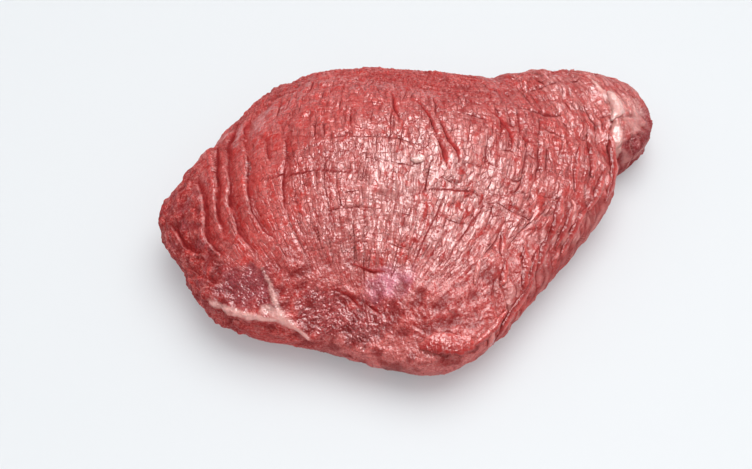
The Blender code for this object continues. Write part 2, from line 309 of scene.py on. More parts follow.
def hashed(cell, seed):
    """A 30-bit whole number for each lattice cell, the same each time."""
    mixed = np.full(len(cell), seed * 97531, np.int64)
    for k, prime in zip(range(cell.shape[1]), (374761393, 668265263, 1440662683)):
        mixed = mixed + cell[:, k] * prime
    mixed = (mixed ^ (mixed >> 13)) * 1274126177
    return (mixed ^ (mixed >> 16)) & 0x3FFFFFFF


def lattice_noise(points, seed):
    """Smooth random field: each lattice corner has a hashed slope, and the slopes are blended."""
    width = points.shape[1]
    cell = np.floor(points).astype(np.int64)
    inside = points - cell
    fade = inside**3 * (inside * (inside * 6 - 15) + 10)
    total = np.zeros(len(points))
    for corner in itertools.product((0, 1), repeat=width):
        mixed = hashed(cell + corner, seed)
        slope = np.stack([(mixed >> (10 * k)) & 1023 for k in range(width)], 1) / 511.5 - 1
        share = np.where(np.array(corner) == 1, fade, 1 - fade).prod(1)
        total += share * ((inside - corner) * slope).sum(1)
    return total


def cushions(points, seed, spread=0.8):
    """Cells round jittered places on a plane lattice.

    Gives half of second nearest less nearest, which is the distance to the border, where the
    point lies from its cell's own place, and two random shares of the cell.
    """
    cell = np.floor(points).astype(np.int64)
    near = np.full(len(points), 9.0)
    second = near.copy()
    offset = np.zeros((len(points), 2))
    lot = np.zeros((len(points), 2))
    for step in itertools.product((-1, 0, 1), repeat=2):
        other = cell + step
        mixed = hashed(other, seed)
        draw = np.stack([mixed & 1023, (mixed >> 10) & 1023], 1) / 1023.0
        away = points - (other + 0.5 + spread * (draw - 0.5))
        distance = np.hypot(away[:, 0], away[:, 1])
        closer = distance < near
        second = np.where(closer, near, np.minimum(second, distance))
        near = np.where(closer, distance, near)
        offset[closer] = away[closer]
        lot[closer] = np.stack([(mixed >> 5) & 1023, (mixed >> 20) & 1023], 1)[closer] / 1023.0
    return (second - near) / 2, offset, lot


def smooth_step(value, start, end):
    """0 before start, 1 after end, and an even S between them. Either may be the larger."""
    share = np.clip((value - start) / (end - start), 0, 1)
    return share**2 * (3 - 2 * share)


def bell(value, width):
    """1 at 0, and a third of that one width away."""
    return np.exp(-((value / width) ** 2))


def path_distance(points, route):
    """Shortest distance to a route of straight legs, and how far along it, from 0 to 1."""
    route = np.array(route, float)
    best = np.full(len(points), 1e9)
    along = np.zeros(len(points))
    legs = len(route) - 1
    for k in range(legs):
        leg = route[k + 1] - route[k]
        share = np.clip((points - route[k]) @ leg / (leg @ leg), 0, 1)
        away = np.linalg.norm(points - route[k] - share[:, None] * leg, axis=1)
        along = np.where(away < best, (k + share) / legs, along)
        best = np.minimum(best, away)
    return best, along


def beside_route(places, route):
    """Distance to a route in a plane, above 0 on its left hand, and how far along, 0 to 1."""
    away, along = path_distance(places, route)
    route = np.array(route, float)
    leg = np.minimum((along * (len(route) - 1)).astype(int), len(route) - 2)
    step = (route[1:] - route[:-1])[leg]
    off = places - route[leg]
    return away * np.sign(step[:, 0] * off[:, 1] - step[:, 1] * off[:, 0]), along


def blots(points, patches, seed, rag=0.5, soft=0.15):
    """1 inside any of the round patches and 0 outside, with a ragged soft edge."""
    inside = np.zeros(len(points))
    ragged = rag * lattice_noise(points / 6.0, seed)
    for middle, reach in patches:
        away = np.linalg.norm((points - middle) / reach, axis=1)
        inside = np.maximum(inside, smooth_step(away + ragged, 0.97 + soft, 0.97 - soft))
    return inside


# Form of a muscle


def outline_radius(angle, middle, corners):
    """Distance from middle to the smooth closed curve through the corners, at each angle."""
    x, y = (np.array(corners, float) - middle).T
    order = np.argsort(np.arctan2(y, x))
    turn, reach = np.arctan2(y, x)[order], np.hypot(x, y)[order]
    turn = np.concatenate([turn[-2:] - 2 * math.pi, turn, turn[:2] + 2 * math.pi])
    reach = np.concatenate([reach[-2:], reach, reach[:2]])
    slope = np.gradient(reach, turn)
    i = np.clip(np.searchsorted(turn, angle) - 1, 0, len(turn) - 2)
    wide = turn[i + 1] - turn[i]
    f = (angle - turn[i]) / wide
    return (
        (1 + 2 * f) * (1 - f) ** 2 * reach[i]
        + f * (1 - f) ** 2 * wide * slope[i]
        + f**2 * (3 - 2 * f) * reach[i + 1]
        + f**2 * (f - 1) * wide * slope[i + 1]
    )


def upper_rise(across, power):
    """Height of the upper section, from 1 in the middle to 0 at the edge, like a squared circle."""
    return (1 - across**power) ** (1 / SHOULDER_TURN)


def lower_rise(across):
    """Height of the lower section, from 0 over the flat base to 1 at the edge, like a foot."""
    foot = np.clip((across - BASE_SHARE) / (1 - BASE_SHARE), 0, 1)
    return 1 - (1 - foot**FOOT) ** (1 / SHOULDER_TURN)


def disc_grid(rings):
    """A square grid laid on a disc: each square ring becomes a circle, and the last one a point.

    Gives each vertex's ring share and angle, and the quads and triangles by vertex number.
    """
    line = np.arange(-rings, rings + 1)
    u, v = (a.ravel().astype(float) for a in np.meshgrid(line, line, indexing="ij"))
    ring = np.maximum(np.abs(u), np.abs(v))
    flat = math.pi / 4 * v / np.where(u == 0, 1, u) + np.where(u < 0, math.pi, 0)
    steep = math.pi / 2 - math.pi / 4 * u / np.where(v == 0, 1, v) + np.where(v < 0, math.pi, 0)
    angle = np.where(np.abs(u) >= np.abs(v), flat, steep)
    angle = (angle + math.pi) % (2 * math.pi) - math.pi
    inner = ring < rings
    pole = int(inner.sum())
    number = np.full(len(u), pole)
    number[inner] = np.arange(pole)
    grid = number.reshape(2 * rings + 1, 2 * rings + 1)
    cells = np.stack([grid[:-1, :-1], grid[1:, :-1], grid[1:, 1:], grid[:-1, 1:]], -1)
    cells = cells.reshape(-1, 4)
    at_pole = (cells == pole).sum(1)
    rim = cells[at_pole == 2]
    start = np.argmax((rim != pole) & (np.roll(rim, 1, axis=1) == pole), axis=1)
    row = np.arange(len(rim))
    triangles = np.stack([rim[row, start], rim[row, (start + 1) % 4], rim.max(1)], 1)
    share = np.append(ring[inner] / rings, 1.0)
    return share, np.append(angle[inner], 0.0), cells[at_pole == 0], triangles


def section(share, rings):
    """Plan radius share of each ring, and whether it is above the muscle's widest level.

    Rings are spaced by the length walked over the section, and the last few lie on the flat base.
    """
    upper = 1 - (1 - np.linspace(0, 1, PROFILE_STEPS)) ** 2.5
    lower = upper[::-1][upper[::-1] >= BASE_SHARE]
    across = np.concatenate([upper, lower, [BASE_SHARE]])
    height = np.concatenate([upper_rise(upper, SHOULDER), 0.5 * lower_rise(lower) - 0.5, [-0.5]])
    walked = np.concatenate([[0], np.cumsum(np.hypot(np.diff(across), 0.45 * np.diff(height)))])
    last = 1 - BASE_RINGS / rings
    target = np.minimum(share / last, 1) * walked[-1]
    on_base = BASE_SHARE * (1 - np.clip((share - last) / (1 - last), 0, 1))
    place = np.where(share > last, on_base, np.interp(target, walked, across))
    return place, target < walked[PROFILE_STEPS - 1]


def press(share, angle, rings, middle, corners, edge_height, top_height):
    """The muscle's plain form: a disc bent down at its rim and under itself, like the solid's."""
    across, is_upper = section(share, rings)
    reach = outline_radius(angle, middle, corners) * across
    x = middle[0] + reach * np.cos(angle)
    y = middle[1] + reach * np.sin(angle)
    wall = np.cos(angle) * WALL_ALONG[1] - np.sin(angle) * WALL_ALONG[0]
    power = SHOULDER + WALL_SHOULDER * np.clip(wall, 0, 1) ** 2
    above = edge_height + (top_height(x, y) - edge_height) * upper_rise(across, power)
    z = np.where(is_upper, above, edge_height * lower_rise(across))
    return np.stack([x, y, z], 1)


def muscle_top(x, y):
    """Height of the thick muscle's upper face: a slope with one broad crown."""
    away = ((x - CROWN_MIDDLE[0]) / CROWN_REACH[0]) ** 2
    away += ((y - CROWN_MIDDLE[1]) / CROWN_REACH[1]) ** 2
    level = MUSCLE_LOW_TOP + MUSCLE_RISE_X * x + MUSCLE_RISE_Y * y
    return level + MUSCLE_CROWN * np.exp(-away)


def tail_top(x, y):
    """Height of the tail muscle's upper face, which falls towards its tip."""
    return TAIL_TOP - TAIL_FALL * (x - TAIL_MIDDLE[0])


def face_normals(points, quads, triangles):
    """Unit normals at the vertices, as the sum of their faces' area vectors."""
    total = np.zeros_like(points)
    a, b, c, d = (points[quads[:, k]] for k in range(4))
    area = np.cross(c - a, d - b)
    p, q, r = (points[triangles[:, k]] for k in range(3))
    small = np.cross(q - p, r - p)
    for axis in range(3):
        for corner in quads.T:
            total[:, axis] += np.bincount(corner, area[:, axis], len(points))
        for corner in triangles.T:
            total[:, axis] += np.bincount(corner, small[:, axis], len(points))
    return total / np.maximum(np.linalg.norm(total, axis=1), 1e-12)[:, None]


def laid_flat(points):
    """Places seen from above, with the sides laid flat: moved out by the height that is lost."""
    flat = points[:, :2] - MUSCLE_MIDDLE
    out = flat / np.maximum(np.linalg.norm(flat, axis=1), 1e-9)[:, None]
    lost = np.clip(TURN_DOWN_HEIGHT - points[:, 2], 0, None)
    return points[:, :2] + out * lost[:, None]


def grain_of(points):
    """Two lengths in mm: across the creases, and along them.

    The creases are arcs through two poles, so the first is the reach times the cotangent of half
    the angle between the poles, and the second the reach times the hyperbolic tangent of half the
    logarithm of the two distances.
    """
    place = laid_flat(points) - GRAIN_MIDDLE
    along = place @ GRAIN_AXIS
    across = place[:, 0] * GRAIN_AXIS[1] - place[:, 1] * GRAIN_AXIS[0]
    angle = np.arctan2(2 * GRAIN_REACH * across, across**2 + along**2 - GRAIN_REACH**2)
    angle = np.clip(angle % (2 * math.pi), 0.2, 2 * math.pi - 0.2)
    near = across**2 + (along + GRAIN_REACH) ** 2
    far = across**2 + (along - GRAIN_REACH) ** 2
    up = GRAIN_REACH * np.tanh(0.25 * np.log((near + 1) / (far + 1)))
    return np.stack([GRAIN_REACH / np.tan(angle / 2), up], 1)


# Relief


def zones_of(points, normals):
    """Shares, from 0 to 1, of what each place of the skin is: even S steps between places in mm.

    The wall is where the skin faces the front right, and round the tangle there is no order.
    """
    x, y, z = points.T
    rolls = x - np.interp(y, ROLLS_Y, ROLLS_X)
    facing = normals[:, 0] * WALL_ALONG[1] - normals[:, 1] * WALL_ALONG[0]
    seam = np.zeros(len(points))
    ragged = 2.0 * lattice_noise(points / 5.0, 21) + 1.2 * lattice_noise(points / 2.4, 25)
    for route, start_width, end_width, _ in SEAMS:
        away, along = path_distance(points, route)
        width = start_width + (end_width - start_width) * along
        width = 0.9 * width * np.sin(math.pi * np.clip(along, 0.12, 0.88)) ** 0.5
        away += ragged * np.minimum(width / 4, 1)
        seam = np.maximum(seam, smooth_step(away, 1.1 * width, 0.4 * width))
    tangle, _ = path_distance(points, TANGLE)
    tangle += 14 * lattice_noise(points / 15, 27)
    far = smooth_step(np.interp(y, END_Y, END_X) - x, -6, 8)
    behind = y - SHEEN_MIDDLE[1]
    reach = np.where(behind < 0, SHEEN_REACH[1], SHEEN_REACH[2])
    sheen = bell(x - SHEEN_MIDDLE[0], SHEEN_REACH[0]) * bell(behind, reach)
    mottled = 0.65 + 1.1 * lattice_noise(points / 3.2, 29)
    zones = {
        "folds": smooth_step(rolls, 6, -6),
        "back": smooth_step(y - np.interp(x, BACK_X, BACK_Y), -5, 6) * smooth_step(x, 102, 90),
        "wall": smooth_step(facing, 0.25, 0.55) * smooth_step(x, 28, 50) * smooth_step(z, 42, 36),
        "order": smooth_step(tangle, 16, 38) * (1 - 0.8 * far),
        "purple": blots(points, PURPLE_CUT, 22, 0.7, 0.35),
        "rough": blots(points, ROUGH_CUT, 23, 0.8, 0.25),
        "silver": blots(points, SILVER_PATCH, 24, 0.7, 0.5),
        "lip": smooth_step(z, 33, 28) * smooth_step(y, -48, -58) * smooth_step(x, 40, 28),
        "tail_cut": blots(points, TAIL_CUT, 26),
        "tail_skin": blots(points, TAIL_SKIN, 28, 0.8) * mottled,
        "end": far,
        "streaky": smooth_step(x, 22, -8) * smooth_step(rolls, -8, 6),
        "ribbed": smooth_step(x, 55, 90),
        "sheen": sheen + TAIL_SHEEN[2] * smooth_step(x, *TAIL_SHEEN[:2]),
        "fat": seam,
    }
    zones["purple"] *= smooth_step(z, 29, 33)
    zones["cut"] = np.maximum.reduce([zones["purple"], zones["rough"], zones["tail_cut"]])
    return zones


def plainer(crack, away, share):
    """The crack that shows more at each place: its distance with a sign (mm), and its share."""
    return np.where(share > crack[1], (away, share), crack)


def fold_relief(points, depth):
    """Rolls that lap over each other across the blunt end: height, notch, shade and crack.

    The skin swells like a bell to the lip of a roll, drops into the crease by an even S, and
    comes back exponentially over the next roll. Each crease fades in and out along its route.
    The notch is the foot of the drop, cut into the mesh and painted dark as shade. The shade is
    painted shade that fades out over the next roll, and the crack is the thin line between the
    two, painted dark too.
    """
    warp = [lattice_noise(points / WARP_SIZE, seed) for seed in (12, 14)]
    place = laid_flat(points) + WARP_REACH * np.stack(warp, 1)
    height, notch, shade = np.zeros((3, len(points)))
    crack = np.full((2, len(points)), ((CRACK_REACH,), (0.0,)))
    for route, share in FOLDS:
        away, along = beside_route(place, route)
        ends = share * smooth_step(along, 0.02, 0.3) * smooth_step(along, 1.0, 0.78)
        after = smooth_step(away, -1.1, 1.1)
        swell = 0.5 * bell(away, FOLD_LIP)
        dip = -0.6 * np.exp(-np.abs(away) / FOLD_DIP)
        height += depth * ends * (swell + (dip - swell) * after)
        ends = np.clip(1.3 * ends, 0, 1)
        notch = np.maximum(notch, ends * bell(away - 0.9, 1.2))
        shade = np.maximum(shade, ends * after * np.exp(-np.abs(away) / 2.6))
        crack = plainer(crack, away - 0.6, ends * bell(away - 0.6, 2.0))
    return height, notch, shade, crack


def large_relief(points, lumps, sizes):
    """The forms that the solid has too: folds, lumps, seams, a groove and dents."""
    height = fold_relief(points, sizes.fold_depth / MM)[0]
    for size, tall, seed in lumps:
        height += tall * lattice_noise(points / size, seed)
    for route, start_width, end_width, tall in SEAMS + GROOVES:
        away, along = path_distance(points, route)
        height += tall * bell(away, start_width + (end_width - start_width) * along)
    for middle, reach, depth in DENTS:
        height -= depth * bell(np.linalg.norm(points - middle, axis=1), reach)
    return height * smooth_step(points[:, 2], LOW_END, HIGH_START)


def long_creases(grain, spacing, seed):
    """Broken lines along the grain: the distance from the nearest, and how open it is there.

    The lines stand unevenly: each is moved by its own random share of the spacing. Along a line
    a noise opens and closes it.
    """
    row = np.round(grain[:, 0] / spacing)
    moved = (hashed(row.astype(np.int64)[:, None], seed) & 1023) / 1023.0 - 0.5
    away = (grain[:, 0] / spacing - row - 0.5 * moved) * spacing
    opening = lattice_noise(np.stack([row * 7.31, grain[:, 1] / CREASE_RUN], 1), seed + 1)
    return away, smooth_step(opening, -0.12, 0.30)


def gaping_creases(place, crack):
    """Creases that stand open: bare face, cleft, depth and crack.

    The bare face lies on the left hand, between two even S steps. The cleft is a bell, painted dark
    as shade in the crease, and the depth comes back exponentially over the bare face.
    """
    opened, cleft, depth = np.zeros((3, len(place)))
    for route, width, deep in OPEN_CREASES:
        away, along = beside_route(place, route)
        taper = np.sin(math.pi * np.clip(along, 0.1, 0.9))
        wide = width * taper
        bare = smooth_step(away, -0.5, 0.2) * smooth_step(away, 1.7 * wide, 0.9 * wide)
        opened = np.maximum(opened, bare * smooth_step(width, 0.8, 1.2))
        cleft = np.maximum(cleft, bell(away, 0.35 + 0.3 * wide) * taper**0.5)
        climb = np.where(away < 0, bell(away, 0.6), np.exp(-np.abs(away) / (0.8 * wide)))
        depth = np.maximum(depth, climb * deep * taper)
        crack = plainer(crack, away, min(0.1 + 0.5 * width, 1) * taper * bell(away, 2.0))
    return opened, cleft, depth, crack


def wall_pleats(points, sizes):
    """Ribbons of meat down the front right wall: height, pale rim and dark hollow.

    They are cushions in two lengths: along the wall, moved on down it by a slope and an
    exponential, and the depth down it. The pale rim is paler skin with a painted highlight on it,
    and the dark hollow is painted shade.
    """
    down = np.clip(TURN_DOWN_HEIGHT - points[:, 2], 0, None)
    climb = points[:, 0] * WALL_ALONG[0] + points[:, 1] * WALL_ALONG[1]
    climb += down / PLEAT_SLOPE - PLEAT_HOOK * np.exp(-down / PLEAT_HOOK_DEPTH)
    pleat = climb / (sizes.pleat_width / MM) + 1.2 * lattice_noise(points / 22, 71)
    pleat += 0.6 * lattice_noise(points / 9, 72)
    fall = down / PLEAT_LENGTH + 0.6 * lattice_noise(points / 20, 75)
    border, beyond, chance = cushions(np.stack([pleat, fall], 1), 74, 0.9)
    torn = smooth_step(lattice_noise(points / 9, 73), -0.3, 0.2)
    ribbon = 1 - bell(border, 0.14) + 1.6 * beyond[:, 0] * (chance[:, 0] - 0.2)
    height = (sizes.pleat_depth / MM) * (ribbon - 0.5) * (0.5 + 0.5 * torn)
    return height, bell(border - 0.13, 0.06) * torn, bell(border, 0.07)


def torn_crumbs(points, bent, sizes):
    """Fibre ends of a torn face: small tilted cushions on a noise, and the gaps between them, painted
    darker as shade.
    """
    grit, beside, luck = cushions(bent / (sizes.crumb_size / MM), 61)
    crumbs = 3.0 * (beside * (luck - 0.5)).sum(1) - 1.1 * bell(grit, 0.22)
    crumbs += 1.5 * lattice_noise(points / 5.0, 62)
    return crumbs * (sizes.crumb_height / MM), bell(grit, 0.16)


def fine_relief(points, grain, zones, sizes):
    """Creases, cushions, crumbs and ribbons on top of the large forms: height and fields.

    Creases and cushions are drawn in the grain's two lengths, bent by a noise. Heights of all
    kinds are added up, each by the share of its zone. The lines are shade painted into creases,
    gaps and low places, and the darkest of them counts.
    """
    names = ("order", "wall", "back", "end", "sheen")
    order, wall, back, end, sheen = (zones[name] for name in names)
    wander = np.zeros((len(points), 2))
    for reach, *sizes_and_seeds in WANDER:
        noises = [lattice_noise(points / size, seed) for size, seed in sizes_and_seeds]
        wander += reach * np.stack(noises, 1)
    bent = grain + wander
    _, notch, shade, crack = fold_relief(points, 0.0)
    opened, cleft, depth, crack = gaping_creases(points[:, :2] + 0.45 * wander, crack)
    torn = 1 - order
    plain = 1 - np.maximum.reduce([zones["cut"], zones["fat"], zones["lip"], 0.9 * wall])
    plain *= 1 - 0.9 * np.maximum(opened, cleft)
    calm = 1 - 0.7 * np.maximum(zones["folds"] * (1 - 0.8 * end), back)
    calm *= plain * (0.15 + 0.85 * order)

    # Rows of long creases: the grain they follow, spacing, seed, softness and crispness
    rows = (
        (bent, sizes.crease_spacing / MM, 41, 1.0, 0.75),
        (bent * (1, 1.6), 4.6, 45, 0.5, 0.45),
        (bent[:, ::-1] + 500, 14.0, 43, 0.7, 0.65),
    )
    creases = np.zeros(len(points))
    ribbed = calm * (1 + 0.35 * zones["ribbed"])
    for place, spacing, seed, soft, crisp in rows:
        away, share = long_creases(place, spacing, seed)
        creases = np.maximum(creases, soft * share * bell(away, 0.75))
        crack = plainer(crack, away, crisp * share * ribbed * bell(away, 1.6))
    creases *= calm * (1 + 0.7 * zones["ribbed"])

    cell = bent / (sizes.wrinkle_width / MM, sizes.wrinkle_length / MM)
    edge, offset, lot = cushions(cell, 51)
    gap = bell(edge, 0.11)
    patch = smooth_step(lattice_noise(points / 17, 52), -0.25, 0.25)
    cells = 0.5 - 0.5 * bell(edge, 0.13) + (offset * (lot - 0.5) * (3.2, 3.4)).sum(1)
    cells *= (sizes.wrinkle_depth / MM) * (0.35 + 0.65 * patch)
    crumbs, grit = torn_crumbs(points, bent, sizes)
    crumbled = [most * zones[name] for name, most in CRUMBLED.items()]
    crumbled = np.maximum.reduce([*crumbled, 0.4 * torn * (1 - zones["fat"])])
    pleats, rim, hollow = wall_pleats(points, sizes)
    bands = lattice_noise(bent / (15.0, 2.4), 87)
    lump = lattice_noise(points * (1, 1.5, 1.5) / 8.0, 84)
    swell = lattice_noise(points / 6.0, 82)

    height = cells * calm * (1 - 0.5 * zones["streaky"] + 0.3 * zones["ribbed"])
    ridges = lattice_noise(bent / (2.8, 17.0), 85)
    height += 0.9 * ridges * plain * zones["streaky"] * order
    height += crumbs * crumbled + pleats * wall + 1.6 * bands * back
    height += 1.2 * lump * torn * plain + 0.25 * lattice_noise(points / 2.6, 81) + swell
    for zone, tall, size, seed in SWELLS:
        height += tall * zones[zone] * lattice_noise(points / size, seed)
    height -= creases * (sizes.crease_depth / MM) + depth + 1.1 * notch

    # Painted shade: places that lie low, gaps between crumbs, the back band, the grooves and the wall
    # are darker. The far end also has random dark spots
    shade_and_spots = 0.4 * smooth_step(-swell, 0.0, 0.4) * plain + 1.1 * smooth_step(-lump, -0.05, 0.3) * torn
    shade_and_spots += 0.6 * grit * crumbled
    shade_and_spots += (0.2 + 0.5 * smooth_step(-bands, 0.0, 0.25)) * back
    shade_and_spots += 0.7 * smooth_step(lattice_noise(points / 4.5, 89), 0.1, 0.4) * end
    for route, start_width, _, _ in GROOVES:
        shade_and_spots += 0.6 * bell(path_distance(points, route)[0], start_width)
    streaks = 0.35 + 0.5 * smooth_step(-lattice_noise(points / 7, 88), -0.1, 0.3)
    shade_and_spots = np.maximum(shade_and_spots, wall * streaks)
    # Painted shade in the creases, the gaps between cushions, low places, the fold notches and
    # clefts, and over the roll after each fold
    lines = np.maximum.reduce([0.65 * creases, 0.5 * gap * calm, 0.8 * shade_and_spots])
    lines *= 1 - 0.2 * sheen
    lines = np.maximum.reduce([lines, 1.3 * notch, 0.75 * shade, 1.5 * cleft])
    # Painted sheen: the pale skin colour is stronger on raised places
    raised = 0.85 + 0.45 * smooth_step(swell, -0.2, 0.3)
    fields = {
        "crease": np.clip(lines, 0, 1),
        "open": np.clip(np.maximum.reduce([opened, cleft, 1.6 * notch]), 0, 1),
        "crumb": crumbled,
        "crack": np.clip(crack[0], -CRACK_REACH, CRACK_REACH),
        "cracked": crack[1],
        "rim": rim * wall,
        "hollow": hollow * wall,
        # Painted highlight: in the sheen, some cushions are painted pale
        "pale": sheen * (1 - gap) * plain * smooth_step(lot[:, 0], 0.2, 0.45),
        "film": sheen * raised * (1 - 0.8 * wall),
    }
    return height * smooth_step(points[:, 2], LOW_END, HIGH_START), fields


# Mesh and material helpers


def placed(name, data):
    """A new object of the scene."""
    made = bpy.data.objects.new(name, data)
    bpy.context.scene.collection.objects.link(made)
    return made


def make_object(name, points, quads, triangles, fields, material):
    """An object from points in drawing millimetres, faces, and one value or vector a vertex."""
    mesh = bpy.data.meshes.new(name)
    corners = np.concatenate([quads.ravel(), triangles.ravel()]).astype(np.int32)
    starts = np.arange(len(quads)) * 4
    starts = np.concatenate([starts, len(quads) * 4 + np.arange(len(triangles)) * 3])
    mesh.vertices.add(len(points))
    mesh.vertices.foreach_set("co", ((points + ZERO) * MM).astype(np.float32).ravel())
    mesh.loops.add(len(corners))
    mesh.loops.foreach_set("vertex_index", corners)
    mesh.polygons.add(len(starts))
    mesh.polygons.foreach_set("loop_start", starts.astype(np.int32))
    mesh.update(calc_edges=True)
    mesh.shade_smooth()
    for key, values in fields.items():
        kind, slot = ("FLOAT", "value") if values.ndim == 1 else ("FLOAT_VECTOR", "vector")
        layer = mesh.attributes.new(key, kind, "POINT")
        layer.data.foreach_set(slot, values.astype(np.float32).ravel())
    mesh.materials.append(material)
    return placed(name, mesh)


def add(tree, kind, inputs, output=0, **settings):
    """Adds one node and gives one of its outputs. An input is a value or another's output."""
    made = tree.nodes.new("ShaderNode" + kind)
    for key, value in settings.items():
        setattr(made, key, value)
    for key, value in inputs.items():
        if isinstance(value, bpy.types.NodeSocket):
            tree.links.new(value, made.inputs[key])
        else:
            made.inputs[key].default_value = value
    return made.outputs[output] if made.outputs else None


def empty_material(name):
    """A material without nodes."""
    material = bpy.data.materials.new(name)
    material.use_nodes = True
    material.node_tree.nodes.clear()
    return material


def raw_beef():
    """Raw lean beef, cut and pulled apart along its skins.

    Wet lean meat is deep red and a little see-through, and its thin pale skin gives it a broad
    soft shine that the creases break up. Cuts that have dried are darker and crumbly. The colour
    also holds painted light: shade in deep red in the creases, cracks and hollows, and sheen and
    highlights in the pale skin's colour.
    """
    found = bpy.data.materials.get("raw_lean_beef")
    if found:
        return found
    colours = bpy.context.scene.roast_colours
    sizes = bpy.context.scene.roast_sizes
    material = empty_material("raw_lean_beef")
    tree = material.node_tree
    place = add(tree, "TexCoord", {}, "Object")
    grain = add(tree, "Attribute", {}, "Vector", attribute_name="grain")
    field = {name: add(tree, "Attribute", {}, "Fac", attribute_name=name) for name in FIELDS}

    # Patterns on the plane of the grain. Fibres run across the creases: long that way, and as
    # fine as their spacing the other way. Cushions and streaks are crooked. A cushion is three
    # quarters as large as one in the mesh, and a streak 2.5 mm wide and some 12 mm long
    warp = add(tree, "TexNoise", {"Vector": place, "Scale": 260.0, "Detail": 2.0}, "Color")
    bend = {0: warp, 1: (0.0016, 0.0016, 0.0), 2: grain}
    bent = add(tree, "VectorMath", bend, operation="MULTIPLY_ADD")
    planes = (
        (grain, (90.0, 0.9 / sizes.fibre_spacing, 0.0)),
        (bent, (CUSHION_RATIO / sizes.wrinkle_width, CUSHION_RATIO / sizes.wrinkle_length, 0.0)),
        (bent, (400.0, 85.0, 0.0)),
    )
    strands, cells, streaks = (
        add(tree, "VectorMath", {0: base, 1: scale}, operation="MULTIPLY") for base, scale in planes
    )

    # Noises: pattern, scale, detail, and roughness if it isn't the usual. Clouds of colour are
    # 25 mm across, marks in them 6 mm, the tooth some 1 mm, and knobs are swellings of 2 mm,
    # smooth enough to shine
    noises = (
        (place, 40.0, 3.0),
        (place, 170.0, 4.0, 0.6),
        (place, 760.0, 4.0, 0.7),
        (place, 520.0, 1.0),
        (strands, 1.0, 1.0),
        (streaks, 1.0, 2.0),
    )
    keys = ("Vector", "Scale", "Detail", "Roughness")
    cloud, mark, tooth, knob, fibre, streak = (
        add(tree, "TexNoise", dict(zip(keys, noise))) for noise in noises
    )

    # Cushions: the border, how each is tilted, and a random share of each
    voronoi = {"Vector": cells, "Scale": 1.0, "Randomness": 0.9}
    kinds = (("F1", "Position"), ("F1", "Color"), ("DISTANCE_TO_EDGE", "Distance"))
    middle, lot, border = (
        add(tree, "TexVoronoi", voronoi, output, feature=feature, voronoi_dimensions="2D")
        for feature, output in kinds
    )
    leans = ((lot, (0.5, 0.5, 0.5)), (cells, middle))
    lean, offset = (add(tree, "VectorMath", {0: a, 1: b}, operation="SUBTRACT") for a, b in leans)
    tilt = add(tree, "VectorMath", {0: offset, 1: lean}, "Value", operation="DOT_PRODUCT")
    pick = add(tree, "SeparateXYZ", {0: lot}, "X")

    # Cracks: a thin line where the distance from a crease is near 0, painted dark as shade, and a
    # pale lip beside it, painted as a highlight
    away = add(tree, "Math", {0: field["crack"]}, operation="ABSOLUTE")
    beside = add(tree, "Math", {0: field["crack"], 1: LIP_GLINT_PLACE}, operation="ADD")
    beside = add(tree, "Math", {0: beside}, operation="ABSOLUTE")
    wide = add(tree, "MapRange", {"Value": mark, 1: 0.38, 2: 0.65, 3: 0.15, 4: 1.05})
    wide = add(tree, "Math", {0: wide, 1: field["cracked"]}, operation="MULTIPLY")
    inside = add(tree, "Math", {0: wide, 1: away}, operation="SUBTRACT")

    # Shares: a value, where it starts and ends to count, and the share there if not 0 and 1
    ramps = {
        "border": (border, 0.0, 0.09, 1.0, 0.0),
        "broken": (mark, 0.36, 0.56),
        "firm": (field["smooth"], 0.0, 1.0, 1.0, 0.0),
        "groove": (streak, 0.47, 0.36),
        "crack": (inside, 0.0, 0.25),
        "lip": (beside, 0.3, 0.9, 1.0, 0.0),
        "skin": (field["film"], 0.0, 1.0, 0.12, 0.95),
        "spots": (mark, 0.46, 0.66),
        "cushions": (pick, 0.36, 0.52),
        "threads": (fibre, 0.50, 0.72, 0.0, 0.26),
        "specks": (tooth, 0.46, 0.32),
        "bits": (field["crumb"], 0.0, 1.0, 0.50, 1.8),
        "flecks": (tooth, 0.52, 0.66),
        "bare": (field["film"], 0.0, 1.0, 0.32, 0.10),
        "clouds": (cloud, 0.35, 0.65),
        "knobs": (field["film"], 0.0, 1.0, 0.75, 0.15),
        "rough": (mark, 0.3, 0.7, 0.45, 0.60),
    }
    keys = ("Value", 1, 2, 3, 4)
    ramp = {name: add(tree, "MapRange", dict(zip(keys, row))) for name, row in ramps.items()}
    bare = {0: field["crumb"], 1: 0.9, 2: ramp["bare"]}
    bare = add(tree, "Math", bare, operation="MULTIPLY_ADD")
    torn = add(tree, "Math", {0: field["order"], 1: field["cut"]}, operation="MAXIMUM")
    torn = add(tree, "Math", {0: 1.0, 1: torn}, operation="SUBTRACT")
    beads = add(tree, "TexVoronoi", {"Vector": place, "Scale": BEAD_SCALE})
    # What counts only so far as something else does
    products = {
        "line": (ramp["border"], ramp["firm"], ramp["broken"]),
        "groove": (ramp["groove"], ramp["firm"]),
        "lip": (ramp["lip"], field["cracked"], ramp["broken"]),
        "spots": (ramp["spots"], ramp["skin"]),
        "cushions": (ramp["cushions"], ramp["skin"]),
        "specks": (ramp["specks"], ramp["bits"]),
        # Flecks of pale skin colour on crumbly places are painted glints
        "flecks": (ramp["flecks"], bare),
        "knobs": (ramp["knobs"], knob),
        "torn": (torn, mark),
        "beads": (beads, field["cut"]),
        "crack": (ramp["crack"],),
    }
    share = {}
    for name, (product, *factors) in products.items():
        for factor in factors:
            product = add(tree, "Math", {0: product, 1: factor}, operation="MULTIPLY")
        share[name] = product

    # Colours from the bottom to the top: share, the most that it covers, and what it is
    film, deep = colours.film, colours.deep
